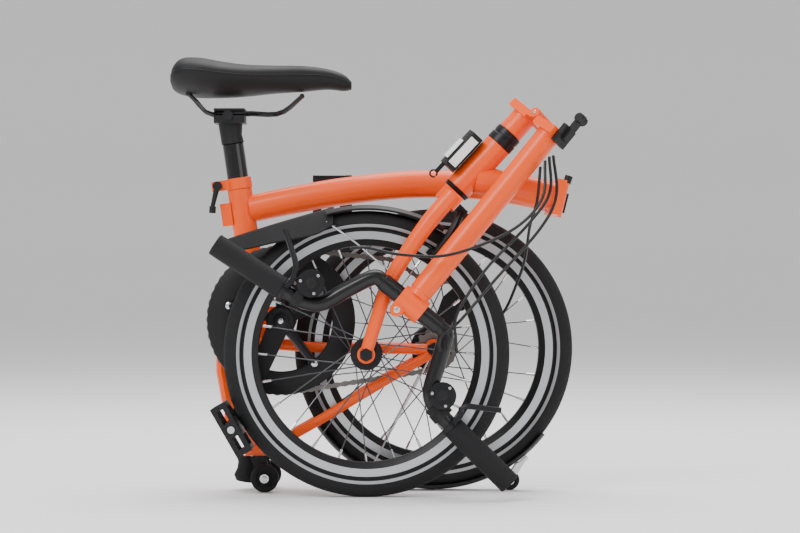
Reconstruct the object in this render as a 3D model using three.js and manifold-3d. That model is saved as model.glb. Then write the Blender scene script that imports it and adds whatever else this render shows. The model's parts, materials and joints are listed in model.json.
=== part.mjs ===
// Folding bicycle, shown folded. Millimetres, +X towards the front of the main frame,
// -Y the drive side, +Z up. The floor is Z = 0.
import * as THREE from "three";
import Module from "manifold-3d";

const wasm = await Module();
wasm.setup();

// ---------- driving dimensions ----------
const TYRE_R = 208; // outer radius of both tyres
const TYRE_W = 34; // tyre width
const RIM_OUT = 181; // radius of the rim's outer edge
const RIM_IN = 157; // radius of the rim's inner edge
const SPOKES = 24;
const FRONT_Y = -120; // plane of the folded front wheel
const FRONT_AXLE = [0, FRONT_Y, TYRE_R];
const REAR_AXLE = [99, 0, 213];
const BOTTOM_BRACKET = [-127, 0, 255];
const REAR_PIVOT = [-217, 0, 227];
const CRANK_LENGTH = 170;
const CRANK_DROP = 0.412; // angle of the right crank from straight down, towards the rear
const CHAIN_Y = -46; // plane of the chain
const HINGE_TILT = THREE.MathUtils.degToRad(14); // fold axis from vertical, top forward
const HINGE = [285, -60, 434];
const HEAD_LEAN = THREE.MathUtils.degToRad(43); // steering axis from vertical, folded
const HEADSET = [201.5, FRONT_Y, 522];
const STEM_LENGTH = 328;
const STEM_PIN = [21, -21, 54]; // in the fork's own frame
const BAR_Z = 54 + STEM_LENGTH; // the bar's clamp, in the stem's own frame
const STEM_FOLD = THREE.MathUtils.degToRad(174.5);
const POST_R = 15.9;
const SEAT_LEAN = THREE.MathUtils.degToRad(8.3);
const SEAT_FOOT = [-158.5, 0, 222];
const GAP = 0.3;

const ORANGE = [0xf2612a, 0.32, 0.0];
const BLACK = [0x1c1d1f, 0.55, 0.0];
const SATIN = [0x2a2c2e, 0.4, 0.3];
const RUBBER = [0x26272a, 0.85, 0.0];
const STEEL = [0xb9bcc0, 0.3, 1.0];
const GREY = [0x8b8d90, 0.5, 0.6];

// ---------- helpers ----------
const V = (p) => new THREE.Vector3(...p);
const add = (p, q) => [p[0] + q[0], p[1] + q[1], p[2] + q[2]];

// A closed geometry as a solid.
function solid(geometry) {
  const g = geometry.index ? geometry.toNonIndexed() : geometry;
  const at = g.getAttribute("position").array;
  const seen = new Map();
  const points = [];
  const faces = [];
  for (let i = 0; i < at.length; i += 9) {
    const tri = [0, 3, 6].map((k) => {
      const p = [at[i + k], at[i + k + 1], at[i + k + 2]];
      const key = p.map((x) => Math.round(x * 1e4)).join();
      if (!seen.has(key)) {
        seen.set(key, points.length / 3);
        points.push(...p);
      }
      return seen.get(key);
    });
    if (tri[0] !== tri[1] && tri[1] !== tri[2] && tri[2] !== tri[0]) faces.push(...tri);
  }
  return new wasm.Manifold(
    new wasm.Mesh({
      numProp: 3,
      vertProperties: new Float32Array(points),
      triVerts: new Uint32Array(faces),
    }),
  );
}

const join = (list) => wasm.Manifold.union(list.flat());
const sides = [1, -1]; // left, right
// The range of Y between two distances from the middle, on one side.
const across = (near, far, side) => [Math.min(near * side, far * side), Math.max(near * side, far * side)];

// A solid of revolution about the line from a towards b; the profile is [radius, distance] pairs.
function turned(profile, a, b, sides = 24) {
  const g = new THREE.LatheGeometry(profile.map((p) => new THREE.Vector2(p[0], p[1])), sides);
  const q = new THREE.Quaternion().setFromUnitVectors(
    new THREE.Vector3(0, 1, 0),
    V(b).sub(V(a)).normalize(),
  );
  g.applyQuaternion(q).translate(...a);
  return solid(g);
}

// A rod from a to b, with a second radius at b if it tapers.
function rod(a, b, r, r2 = r, sides = 20) {
  const l = V(a).distanceTo(V(b));
  return turned([[0, 0], [r, 0], [r2, l], [0, l]], a, b, sides);
}

// A disc or collar across Y, from y0 to y1.
const disc = (x, z, r, y0, y1, sides = 20) => rod([x, y0, z], [x, y1, z], r, r, sides);

// A round or oval tube along a smooth path.
function pipe(points, r, steps = 18, sides = 12, tall = 1) {
  const path = new THREE.CatmullRomCurve3(points.map(V), false, "centripetal");
  const ring = new THREE.Shape();
  for (let i = 0; i < sides; i++) {
    const t = (2 * Math.PI * i) / sides;
    const x = r * tall * Math.cos(t);
    const y = r * Math.sin(t);
    if (i) ring.lineTo(x, y);
    else ring.moveTo(x, y);
  }
  const g = new THREE.ExtrudeGeometry(ring, { steps, extrudePath: path });
  return solid(g);
}

// A flat plate with this outline in X and Z, from y0 to y1.
function plate(outline, y0, y1, holes = []) {
  const s = new THREE.Shape(outline.map((p) => new THREE.Vector2(...p)));
  for (const h of holes) s.holes.push(new THREE.Path(h.map((p) => new THREE.Vector2(...p))));
  const g = new THREE.ExtrudeGeometry(s, { depth: y1 - y0, bevelEnabled: false });
  g.rotateX(Math.PI / 2).translate(0, y1, 0);
  return solid(g);
}

// A closed body through a row of rings, each with the same number of points, capped at both ends.
function loft(rings) {
  const n = rings[0].length;
  const at = rings.flat();
  const mid = (ring) => ring.reduce((s, p) => add(s, p), [0, 0, 0]).map((x) => x / n);
  at.push(mid(rings[0]), mid(rings.at(-1)));
  const index = [];
  for (let i = 0; i + 1 < rings.length; i++) {
    for (let j = 0; j < n; j++) {
      const k = (j + 1) % n;
      index.push(i * n + j, i * n + k, (i + 1) * n + j);
      index.push(i * n + k, (i + 1) * n + k, (i + 1) * n + j);
    }
  }
  const last = (rings.length - 1) * n;
  for (let j = 0; j < n; j++) {
    const k = (j + 1) % n;
    index.push(at.length - 2, k, j, at.length - 1, last + j, last + k);
  }
  const g = new THREE.BufferGeometry();
  g.setAttribute("position", new THREE.Float32BufferAttribute(at.flat(), 3));
  g.setIndex(index);
  let s = solid(g);
  if (s.volume() < 0) {
    g.setIndex(index.map((_, i) => index[i - (i % 3) + 2 - (i % 3)]));
    s = solid(g);
  }
  return s;
}

function box(w, d, h, at, leanY = 0, spinZ = 0) {
  const g = new THREE.BoxGeometry(w, d, h);
  g.rotateZ(spinZ).rotateY(leanY).translate(...at);
  return solid(g);
}

function circle(x, z, r, n = 24) {
  return Array.from({ length: n }, (_, i) => {
    const t = (2 * Math.PI * i) / n;
    return [x + r * Math.cos(t), z + r * Math.sin(t)];
  });
}

const group = new THREE.Group();
group.position.set(-12.5, 55, 0); // puts the middle of the footprint at the origin

// A solid as a named mesh with its own material.
function part(name, s, [color, roughness, metalness], parent = group) {
  const m = s.simplify(0.09).getMesh();
  const g = new THREE.BufferGeometry();
  const pos = new Float32Array(m.numVert * 3);
  for (let i = 0; i < m.numVert; i++) {
    pos.set(m.vertProperties.subarray(i * m.numProp, i * m.numProp + 3), i * 3);
  }
  g.setAttribute("position", new THREE.BufferAttribute(pos, 3));
  g.setIndex(new THREE.BufferAttribute(m.triVerts, 1));
  g.computeVertexNormals();
  const mesh = new THREE.Mesh(g, new THREE.MeshStandardMaterial({ color, roughness, metalness }));
  mesh.name = name;
  parent.add(mesh);
  return mesh;
}

// Moves a solid out of a local frame.
const placed = (s, m) => s.transform(m.elements);
const frameAt = (origin, leanY) =>
  new THREE.Matrix4().makeRotationY(leanY).setPosition(...origin);

// ---------- frames of the folded pieces ----------
const forkFrame = frameAt(HEADSET, HEAD_LEAN);
const hingeFrame = frameAt(HINGE, HINGE_TILT);
const axleInFork = V(FRONT_AXLE).applyMatrix4(forkFrame.clone().invert());
const pinAxis = new THREE.Vector3(1, 1, 0).normalize();
const stemFrame = forkFrame
  .clone()
  .multiply(new THREE.Matrix4().makeTranslation(...STEM_PIN))
  .multiply(new THREE.Matrix4().makeRotationAxis(pinAxis, STEM_FOLD))
  .multiply(new THREE.Matrix4().makeTranslation(-STEM_PIN[0], -STEM_PIN[1], -STEM_PIN[2]));
const seatFrame = frameAt(SEAT_FOOT, -SEAT_LEAN); // its Z runs up the seat tube

const inFork = (s) => placed(s, forkFrame);
const inStem = (s) => placed(s, stemFrame);
const inHinge = (s) => placed(s, hingeFrame);
const inSeat = (s) => placed(s, seatFrame);

// ---------- main frame: main tube, seat tube, bottom bracket shell, pivot lug ----------
const SEAT_TOP = 231;
const mainTube = pipe(
  [
    [-176, 0, 421],
    [-101, 0, 436.5],
    [-32, 0, 448],
    [64, 0, 458],
    [160, 0, 456.5],
    [225, 0, 447.5],
    [273, 0, 437],
  ],
  20.5,
  10,
  18,
);
const seatTube = inSeat(rod([0, 0, 0], [0, 0, SEAT_TOP], 18.2, 18.2, 28));
const seatBore = inSeat(rod([0, 0, -5], [0, 0, SEAT_TOP + 5], POST_R + GAP, POST_R + GAP, 32));
const [BX, , BZ] = BOTTOM_BRACKET;
const [PX, , PZ] = REAR_PIVOT;
const shell = disc(BX, BZ, 18, -34, 34);
const shellBore = disc(BX, BZ, 13, -40, 40);
const lug = join([
  box(34, 30, 26, [-146, 0, 262]),
  plate([[-170, 214], [-170, 262], [PX - 2, PZ + 11], [PX - 2, PZ - 11]], -17, 17),
  disc(PX, PZ, 13, -17.6, 17.6),
]);
const pivotBore = disc(PX, PZ, 6.3, -60, 60, 20);
const hingePlate = (y0, y1) => box(13, y1 - y0, 52, [-7, (y0 + y1) / 2, 0]);
const barrel = (z0, z1) => rod([0, 0, z0], [0, 0, z1], 8, 8, 20);
const mainPlate = inHinge(
  join([hingePlate(8.6, 86), barrel(9, 26), barrel(-26, -9)]
    .concat([17.5, -17.5].map((z) => box(13, 10, 17, [-7, 5, z])))),
);
const pinBore = inHinge(rod([0, 0, -40], [0, 0, 40], 3.3, 3.3, 16));
const suspensionSeat = inSeat(box(16, 26, 34, [-24, 0, 196]));
part(
  "main_frame",
  join([mainTube, seatTube, shell, lug, mainPlate, suspensionSeat])
    .subtract(seatBore)
    .subtract(shellBore)
    .subtract(pivotBore)
    .subtract(pinBore),
  ORANGE,
);
part("main_hinge_pin", inHinge(rod([0, 0, -27], [0, 0, 27], 3, 3, 16)), STEEL);
part("rear_pivot_pin", disc(PX, PZ, 6, -34, 34, 20), STEEL);

// ---------- main hinge clamp with its lever ----------
const CLAMP_Y = 93; // from the fold axis
part(
  "main_hinge_clamp",
  inHinge(
    join([box(30, 10, 30, [1, CLAMP_Y, 0]), box(9, 16, 30, [-18, CLAMP_Y - 3, 0])]),
  ),
  BLACK,
);
part(
  "main_clamp_lever",
  inHinge(
    join([
      rod([2, CLAMP_Y + 5.6, 0], [2, CLAMP_Y + 13, 0], 7, 7, 16),
      rod([2, CLAMP_Y + 11, 0], [10, CLAMP_Y + 13, 34], 4.5, 3.5, 12),
      rod([9.5, CLAMP_Y + 12.5, 30], [10.5, CLAMP_Y + 13.5, 42], 6, 6, 16),
    ]),
  ),
  BLACK,
);

// ---------- front frame: short tube, head tube, its half of the hinge ----------
const frontPlate = inHinge(
  join([hingePlate(-86, -8.6), barrel(-8.7, 8.7), box(13, 10, 17, [-7, -5, 0])]),
);
const headTube = inFork(rod([0, 0, -100], [0, 0, -14], 20, 20, 28));
const headBore = inFork(rod([0, 0, -120], [0, 0, 10], 13, 13, 28));
part(
  "front_frame",
  join([
    frontPlate,
    headTube,
    pipe([[273, FRONT_Y, 437], [225, FRONT_Y, 448], [160, FRONT_Y, 462]], 20.5, 4, 18),
  ])
    .subtract(headBore)
    .subtract(pinBore),
  ORANGE,
);
const BLOCK_R = 46; // the stem swings past outside this
part(
  "carrier_block",
  inFork(
    join([
      box(30, 54, 62, [-36, 0, -57]),
      box(6, 40, 54, [-23.6, 0, -57]),
      box(6, 16, 18, [-40, 0, -96]),
    ]).intersect(rod([0, 0, -104], [0, 0, -20], BLOCK_R, BLOCK_R, 40)),
  ),
  BLACK,
);
part(
  "carrier_reflector",
  inFork(
    box(10, 46, 34, [-46, 0, -62]).intersect(
      rod([0, 0, -100], [0, 0, -20], BLOCK_R + 3, BLOCK_R + 3, 40).subtract(
        rod([0, 0, -110], [0, 0, -10], BLOCK_R + GAP, BLOCK_R + GAP, 40),
      ),
    ),
  ),
  [0xd8dcdf, 0.15, 0.1],
);
part(
  "headset_upper",
  inFork(rod([0, 0, -13.7], [0, 0, 10], 19.5, 19.5, 28)).subtract(headBore),
  SATIN,
);
part(
  "headset_lower",
  inFork(rod([0, 0, -107], [0, 0, -100.3], 19, 21, 28)).subtract(headBore),
  SATIN,
);

// ---------- fork ----------
const AX = axleInFork.x;
const AZ = axleInFork.z;
const blade = (side) =>
  pipe(
    [
      [0, 40 * side, -112],
      [3, 42 * side, -170],
      [14, 42.5 * side, -243],
      [26, 42.5 * side, -282],
      [AX - 4, 42.5 * side, AZ + 6],
    ],
    9,
    12,
    12,
  );
const dropout = (side) => disc(AX, AZ, 13, ...across(38.5, 45, side), 20);
part(
  "fork",
  inFork(
    join([
      rod([0, 0, -112], [0, 0, 22], 12.7, 12.7, 24),
      box(34, 88, 22, [0, 0, -119]),
      blade(1),
      blade(-1),
      dropout(1),
      dropout(-1),
    ])
      .subtract(disc(AX, AZ, 5.3, -60, 60, 16))
      .subtract(disc(AX, AZ, 11, 45.2, 60, 20))
      .subtract(disc(AX, AZ, 11, -60, -45.2, 20))
      .subtract(disc(AX, AZ, 26, -35, 35, 20)),
  ),
  ORANGE,
);

// ---------- wheels ----------
function wheel(name, [cx, cy, cz], width, flange) {
  const at = (profile, sides) =>
    turned(profile, [cx, cy, cz], [cx, cy + 1, cz], sides);
  const w = TYRE_W / 2;
  part(
    name + "_tyre",
    at(
      [
        [RIM_OUT + GAP, -w + 5], [RIM_OUT + 9, -w], [TYRE_R - 9, -w + 2.5], [TYRE_R - 2, -w + 9],
        [TYRE_R, 0],
        [TYRE_R - 2, w - 9], [TYRE_R - 9, w - 2.5], [RIM_OUT + 9, w], [RIM_OUT + GAP, w - 5],
        [RIM_OUT + GAP, -w + 5],
      ],
      40,
    ),
    RUBBER,
  );
  part(
    name + "_rim",
    at(
      [
        [RIM_OUT, -11], [RIM_OUT, 11], [RIM_OUT - 16, 11], [RIM_IN, 7], [RIM_IN, -7],
        [RIM_OUT - 16, -11], [RIM_OUT, -11],
      ],
      40,
    ),
    GREY,
  );
  const spokes = [];
  for (let i = 0; i < SPOKES; i++) {
    const side = i % 2 ? 1 : -1;
    const a = (2 * Math.PI * i) / SPOKES;
    const b = a + (i % 4 < 2 ? 0.9 : -0.9);
    spokes.push(
      rod(
        [cx + (flange - 4) * Math.cos(b), cy + side * (width - 2), cz + (flange - 4) * Math.sin(b)],
        [cx + (RIM_IN - GAP - 0.5) * Math.cos(a), cy + side * 2.5, cz + (RIM_IN - GAP - 0.5) * Math.sin(a)],
        1.2,
        1.2,
        3,
      ),
    );
  }
  const hub = at(
    [
      [5.6, -width - 2], [14, -width - 2], [14, -width], [flange, -width], [flange, -width + 4],
      [13, -width + 7], [13, width - 7], [flange, width - 4], [flange, width], [14, width],
      [14, width + 2], [5.6, width + 2], [5.6, -width - 2],
    ],
    24,
  );
  return join([hub, ...spokes]);
}
const frontHub = wheel("front", FRONT_AXLE, 30, 23);
part("front_hub", frontHub, SATIN);
const rearHub = wheel("rear", REAR_AXLE, 30, 34);
const [RX, , RZ] = REAR_AXLE;
const sprocket = join([
  disc(RX, RZ, 15, -43, -31.5, 20),
  disc(RX, RZ, 26, -48, -43.5, 26),
  disc(RX, RZ, 15, -44, -43, 20),
]);
part("rear_hub", join([rearHub, sprocket]).subtract(disc(RX, RZ, 5.6, -60, 60, 20)), SATIN);
const axleBolt = (x, y, z, half) =>
  join([
    disc(x, z, 5, y - half, y + half, 16),
    disc(x, z, 10, y - half, y - half + 7, 6),
    disc(x, z, 10, y + half - 7, y + half, 6),
  ]);
part("front_axle", axleBolt(...FRONT_AXLE, 52.5), BLACK);
part("rear_axle", axleBolt(...REAR_AXLE, 68.6), BLACK);

// ---------- rear triangle: chain stays, seat stays and strut; the suspension block ----------
const STAY_TOP = [-163, 0, 62]; // where the seat stays meet, folded
const rearStays = sides.map((s) => [
  pipe(
    [
      [PX + 4, 26 * s, PZ], [-140, 26.5 * s, 219], [-60, 28.5 * s, 214], [20, 40 * s, 213],
      [RX - 8, 59 * s, RZ],
    ],
    7.5,
    8,
    8,
  ),
  pipe(
    [
      [STAY_TOP[0] + 4, 22 * s, STAY_TOP[2]], [-100, 34 * s, 90], [-5, 53 * s, 147],
      [30, 59 * s, 168], [RX - 6, 59 * s, RZ - 8],
    ],
    7,
    7,
    8,
  ),
  pipe([[PX, 26 * s, PZ - 6], [-214, 27 * s, 150], [STAY_TOP[0] - 8, 24 * s, STAY_TOP[2] - 2]], 8, 4, 8),
  disc(RX, RZ, 15, ...across(55, 61, s), 20),
  disc(PX, PZ, 14, ...across(20.4, 32, s), 20),
]);
part(
  "rear_triangle",
  join([
    ...rearStays.flat(),
    box(34, 58, 18, [STAY_TOP[0] - 2, 0, STAY_TOP[2]]),
    box(20, 48, 16, [-203, 0, 108]),
  ])
    .subtract(pivotBore)
    .subtract(disc(RX, RZ, 5.4, -80, 80, 16))
    .subtract(disc(RX, RZ, 40, -50.5, 50.5, 20))
    .subtract(disc(RX, RZ, 11, -80, -61.2, 20))
    .subtract(disc(RX, RZ, 11, 61.2, 80, 20))
    .subtract(rod([-176, 0, 90], [-186, 0, 0], 4.4, 4.4, 14)),
  ORANGE,
);
const BLOCK_TOP = [-178.5, 0, 50];
part(
  "suspension_block",
  turned(
    [[4.5, 0], [15, 0], [16, 6], [14, 10], [14, 20], [17, 30], [12, 38], [4.5, 38], [4.5, 0]],
    BLOCK_TOP,
    [-187, 0, 0],
    24,
  ),
  RUBBER,
);
const ROLLER_R = 21;
const rollerX = -152;
part(
  "roller_axle",
  join([
    disc(rollerX, ROLLER_R, 4, -54, 54, 16),
    disc(rollerX, ROLLER_R, 7, 53, 57, 16),
    disc(rollerX, ROLLER_R, 7, -57, -53, 16),
  ]),
  STEEL,
);
for (const [name, s] of [["left_roller", 1], ["right_roller", -1]]) {
  const wheelOnAxle = disc(rollerX, ROLLER_R, ROLLER_R, ...across(38, 52, s), 32);
  part(name, wheelOnAxle.subtract(disc(rollerX, ROLLER_R, 4.3, -60, 60, 20)), RUBBER);
}
part(
  "roller_bracket",
  join([
    ...sides.map((s) => disc(rollerX, ROLLER_R, 9, ...across(30, 37.5, s))),
    ...sides.map((s) =>
      plate(
        [[rollerX - 9, 21], [rollerX + 9, 21], [STAY_TOP[0] + 12, 52.7], [STAY_TOP[0] - 12, 52.7]],
        ...across(27, 35, s),
      ),
    ),
    box(12, 60, 6, [STAY_TOP[0] + 11, 0, 49.4]),
  ]).subtract(disc(rollerX, ROLLER_R, 4.3, -60, 60, 20)),
  BLACK,
);

// ---------- crankset ----------
part("bottom_bracket_axle", disc(BX, BZ, 9, -80, 80, 20), STEEL);
const crankDir = [-Math.sin(CRANK_DROP), -Math.cos(CRANK_DROP)];
const arm = (s, y) => {
  const [dx, dz] = crankDir.map((d) => d * s);
  const end = [BX + dx * CRANK_LENGTH, y, BZ + dz * CRANK_LENGTH];
  const side = (w) => [dz * w, -dx * w];
  const [ax, az] = side(16);
  const [ex, ez] = side(11);
  return join([
    disc(BX, BZ, 19, y - 6, y + 6, 24),
    disc(end[0], end[2], 13, y - 6, y + 6, 20),
    plate(
      [
        [end[0] + ex, end[2] + ez], [end[0] - ex, end[2] - ez], [BX - ax, BZ - az],
        [BX + ax, BZ + az],
      ],
      y - 5,
      y + 5,
    ),
  ])
    .subtract(disc(BX, BZ, 9.3, y - 20, y + 20, 24))
    .subtract(disc(end[0], end[2], 6.3, y - 20, y + 20, 20));
};
const spider = [];
for (let i = 0; i < 5; i++) {
  const a = (2 * Math.PI * i) / 5 + 0.35;
  const tip = [BX + 80 * Math.cos(a), -58, BZ + 80 * Math.sin(a)];
  spider.push(rod([BX, -60, BZ], tip, 8, 6, 8), disc(tip[0], tip[2], 7, -60, -43.5, 12));
}
const ring = join([
  disc(BX, BZ, 103, -48, -44, 40).subtract(disc(BX, BZ, 76, -50, -42, 36)),
  disc(BX, BZ, 109, -55, -52.5, 40).subtract(disc(BX, BZ, 78, -58, -50, 36)),
]);
part(
  "right_crank",
  join([arm(1, -70), disc(BX, BZ, 22, -66, -50, 24), ...spider, ring]).subtract(
    disc(BX, BZ, 9.3, -90, -40, 24),
  ),
  SATIN,
);
part("left_crank", arm(-1, 62), SATIN);
const RPX = BX + crankDir[0] * CRANK_LENGTH;
const RPZ = BZ + crankDir[1] * CRANK_LENGTH;
const pedalTilt = 1.05;
const pedalBody = (at, lean, w) => {
  const windows = join(
    [24, -24].flatMap((x) => [8.5, -8.5].map((z) => box(20, w - 24, 12, [x, 0, z]))),
  );
  const bars = join([8.5, -8.5].map((z) => box(80, w, 7, [0, 0, z]))).subtract(windows);
  const body = join([
    bars,
    box(8, w, 24, [36, 0, 0]),
    box(8, w, 24, [-36, 0, 0]),
    box(22, w, 24, [0, 0, 0]),
  ]);
  return placed(body.subtract(disc(0, 0, 6.3, -100, 100, 16)), frameAt(at, lean));
};
part("right_pedal", pedalBody([RPX, -122, RPZ], pedalTilt, 78), BLACK);
part("right_pedal_axle", disc(RPX, RPZ, 6, -158, -64, 16).add(disc(RPX, RPZ, 9, -82.5, -76.4, 16)), STEEL);
const LPX = BX - crankDir[0] * CRANK_LENGTH;
const LPZ = BZ - crankDir[1] * CRANK_LENGTH;
part(
  "left_pedal_pivot",
  join([disc(LPX, LPZ, 6, 56, 70, 16), box(16, 16, 16, [LPX, 76.5, LPZ], CRANK_DROP)]),
  STEEL,
);
// folded flat against the end of its crank
part(
  "left_pedal",
  join([box(60, 9, 64, [0, 0, 0]), box(10, 20, 64, [25, -4, 0]), box(10, 14, 64, [-25, 0, 0])]).subtract(
    join([-12, 6].map((x) => box(10, 30, 44, [x, 0, 0]))),
  ).translate(LPX + 4, 94.5, LPZ + 32),
  BLACK,
);

// ---------- chain and tensioner ----------
const CHAIN_T = 3.6;
const arc = (x, z, r, a0, a1, n) =>
  Array.from({ length: n + 1 }, (_, i) => {
    const t = a0 + ((a1 - a0) * i) / n;
    return [x + r * Math.cos(t), z + r * Math.sin(t)];
  });
const chainLine = (grow) => [
  ...arc(BX, BZ, 107.5 + grow, 1.36, 4.84, 26),
  ...arc(RX, RZ, 30.5 + grow, 4.86, 6.9, 10),
  ...arc(139, 276, 12 - grow, 3.3, 2.2, 3),
  ...arc(139, 300, 12 + grow, -1.2, 1.75, 8),
  [84, 313 + grow],
  [40, 345 + grow],
];
part("chain", plate(chainLine(CHAIN_T), CHAIN_Y - 2.5, CHAIN_Y + 2.5, [chainLine(-CHAIN_T)]), GREY);

// ---------- stem base, hinge and stem ----------
const pinLine = (a, b, r) =>
  rod(
    [STEM_PIN[0] + a * 0.7071, STEM_PIN[1] + a * 0.7071, STEM_PIN[2]],
    [STEM_PIN[0] + b * 0.7071, STEM_PIN[1] + b * 0.7071, STEM_PIN[2]],
    r,
    r,
    16,
  );
const outer = new THREE.Matrix4()
  .makeTranslation(...STEM_PIN)
  .multiply(new THREE.Matrix4().makeRotationZ(Math.PI / 4));
// in this frame Y' is across the pin and X' runs along it
const hingeBox = (along, y0, y1, z0, z1) =>
  placed(
    box(along[1] - along[0], y1 - y0, z1 - z0, [
      (along[0] + along[1]) / 2,
      (y0 + y1) / 2,
      (z0 + z1) / 2,
    ]),
    outer,
  );
part(
  "stem_base",
  inFork(
    join([
      rod([0, 0, 10.4], [0, 0, 40], 18.5, 18.5, 24),
      hingeBox([-22, 22], 9, 50, -14, -1),
      pinLine(-22, -8, 8),
      pinLine(8, 22, 8),
      hingeBox([-22, -8], 0, 12, -9, -1),
      hingeBox([8, 22], 0, 12, -9, -1),
    ])
      .subtract(rod([0, 0, 0], [0, 0, 30], 13, 13, 24))
      .subtract(pinLine(-40, 40, 3.3)),
  ),
  ORANGE,
);
part("stem_hinge_pin", inFork(pinLine(-23, 23, 3)), STEEL);
part(
  "stem",
  inStem(
    join([
      rod([0, 0, 62], [0, 0, BAR_Z - 14], 17.5, 16, 24),
      hingeBox([-22, 22], 9, 50, 1, 14),
      pinLine(-7.6, 7.6, 8),
      hingeBox([-7.6, 7.6], 0, 12, 1, 9),
      rod([0, -21, BAR_Z], [0, 21, BAR_Z], 18.5, 18.5, 24),
      box(26, 20, 20, [0, -11, BAR_Z + 11]),
      rod([-15, -11, BAR_Z + 20], [15, -11, BAR_Z + 20], 9, 9, 18),
    ])
      .subtract(pinLine(-40, 40, 3.3))
      .subtract(rod([0, -80, BAR_Z], [0, 80, BAR_Z], 13, 13, 24)),
  ),
  ORANGE,
);
// hooks over the free edge of the folded stem's hinge plate
part(
  "stem_clamp_lever",
  inStem(
    placed(
      join([
        box(26, 8, 30, [0, 54.6, 4]),
        box(10, 8, 46, [0, 60, -14]),
        rod([-8, 61, -30], [8, 61, -30], 7, 7, 14),
      ]),
      outer,
    ),
  ),
  BLACK,
);

// ---------- handlebar and controls ----------
const barLine = (s) => [
  [0, 50 * s, BAR_Z], [0, 66 * s, BAR_Z + 4], [0, 84 * s, BAR_Z + 42], [0, 99 * s, BAR_Z + 78],
  [0, 118 * s, BAR_Z + 92], [0, 148 * s, BAR_Z + 98], [0, 268 * s, BAR_Z + 110],
];
part(
  "handlebar",
  inStem(
    join([
      rod([0, -52, BAR_Z], [0, 52, BAR_Z], 12.7, 12.7, 20),
      ...sides.map((s) => pipe(barLine(s), 11.1, 13, 10)),
    ]),
  ),
  BLACK,
);
// [side, sign, distance of the shifter pod from the middle, its height in the stem's frame]
const controls = [
  ["left", 1, 116.5, 456.5],
  ["right", -1, 129.5, 450.5],
];
for (const [name, s, podY, podZ] of controls) {
  const from = [0, 158 * s, BAR_Z + 99];
  const to = [0, 272 * s, BAR_Z + 110.4];
  const inner = rod([0, 148 * s, BAR_Z + 98], [0, 269.4 * s, BAR_Z + 110.15], 12.2, 12.2, 16);
  part(name + "_grip", inStem(rod(from, to, 16, 15.5, 18).subtract(inner)), RUBBER);
  const barBore = pipe(barLine(s), 12.4, 13, 10);
  part(
    name + "_brake_lever",
    inStem(
      join([
        rod([0, 150 * s, BAR_Z + 98.2], [0, 157 * s, BAR_Z + 98.9], 16, 16, 16),
        box(16, 7, 22, [-13, 153.5 * s, BAR_Z + 84]),
        pipe(
          [
            [-17, 153.5 * s, BAR_Z + 78],
            [-18, (podY + 32) * s, podZ - 6],
            [-19, (podY + 54) * s, podZ - 22],
            [-19, (podY + 78) * s, podZ - 37],
          ],
          4.2,
          8,
          8,
        ),
      ]).subtract(barBore),
    ),
    BLACK,
  );
  part(
    name + "_shifter",
    inStem(
      join([
        rod([-23, podY * s, podZ], [-5, podY * s, podZ], 20, 20, 20),
        rod([-27, podY * s, podZ], [-22, podY * s, podZ], 10, 9, 16),
        box(12, 12, 34, [-11, (podY + 3) * s, podZ + 16]),
        rod([0, 124 * s, BAR_Z + 93.2], [0, 138 * s, BAR_Z + 96], 16, 16, 16),
      ]).subtract(barBore),
    ),
    BLACK,
  );
}

// ---------- seatpost, clamp and saddle ----------
const POST_TOP = 300;
part("seatpost", inSeat(rod([0, 0, 2], [0, 0, POST_TOP], POST_R, POST_R, 28)), [0x17181a, 0.15, 0.3]);
part(
  "seat_clamp",
  inSeat(
    join([
      rod([0, 0, SEAT_TOP + GAP], [0, 0, SEAT_TOP + 17], 19.5, 19.5, 28),
      box(26, 30, 15, [-27, 0, SEAT_TOP + 8.8]),
    ]).subtract(rod([0, 0, SEAT_TOP - 5], [0, 0, SEAT_TOP + 30], 16.2, 16.2, 32)),
  ),
  ORANGE,
);
part(
  "seat_clamp_lever",
  inSeat(
    join([
      rod([-31, -27, SEAT_TOP + 9], [-31, -15.3, SEAT_TOP + 9], 7, 7, 16),
      rod([-31, -22, SEAT_TOP + 9], [-43, -24, SEAT_TOP - 22], 4.5, 3.2, 12),
      rod([-42, -24, SEAT_TOP - 20], [-44, -24, SEAT_TOP - 30], 5, 5, 14),
    ]),
  ),
  BLACK,
);
const SADDLE_Z = 566;
const railBore = (s) =>
  rod([-240, 22 * s, SADDLE_Z - 2], [-170, 22 * s, SADDLE_Z - 2], 5.4, 5.4, 14);
const rail = (s) => [
  [-266, 34 * s, 592], [-258, 30 * s, 584], [-238, 22 * s, SADDLE_Z - 2], [-206, 22 * s, SADDLE_Z - 2],
  [-174, 22 * s, SADDLE_Z - 2], [-130, 14 * s, SADDLE_Z - 1], [-98, 7 * s, 590],
];
part(
  "saddle_clamp",
  join([
    inSeat(rod([0, 0, POST_TOP + GAP], [0, 0, POST_TOP + 14], 17, 15, 24)),
    box(46, 52, 22, [-206, 0, SADDLE_Z - 6]),
    rod([-208, -28, SADDLE_Z - 6], [-208, 28, SADDLE_Z - 6], 8, 8, 16),
    rod([-204, 0, SADDLE_Z - 46], [-206, 0, SADDLE_Z - 10], 15, 19, 20),
  ])
    .subtract(join(sides.map(railBore)))
    .subtract(inSeat(rod([0, 0, 200], [0, 0, POST_TOP + 0.1], 18, 18, 28))),
  BLACK,
);
part(
  "saddle_rails",
  join([
    ...sides.map((s) => pipe(rail(s), 3.5, 16, 6)),
    rod([-98, -9, 590], [-98, 9, 590], 4, 4, 8),
    rod([-266, -36, 592], [-266, 36, 592], 4, 4, 8),
  ]),
  BLACK,
);
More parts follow.
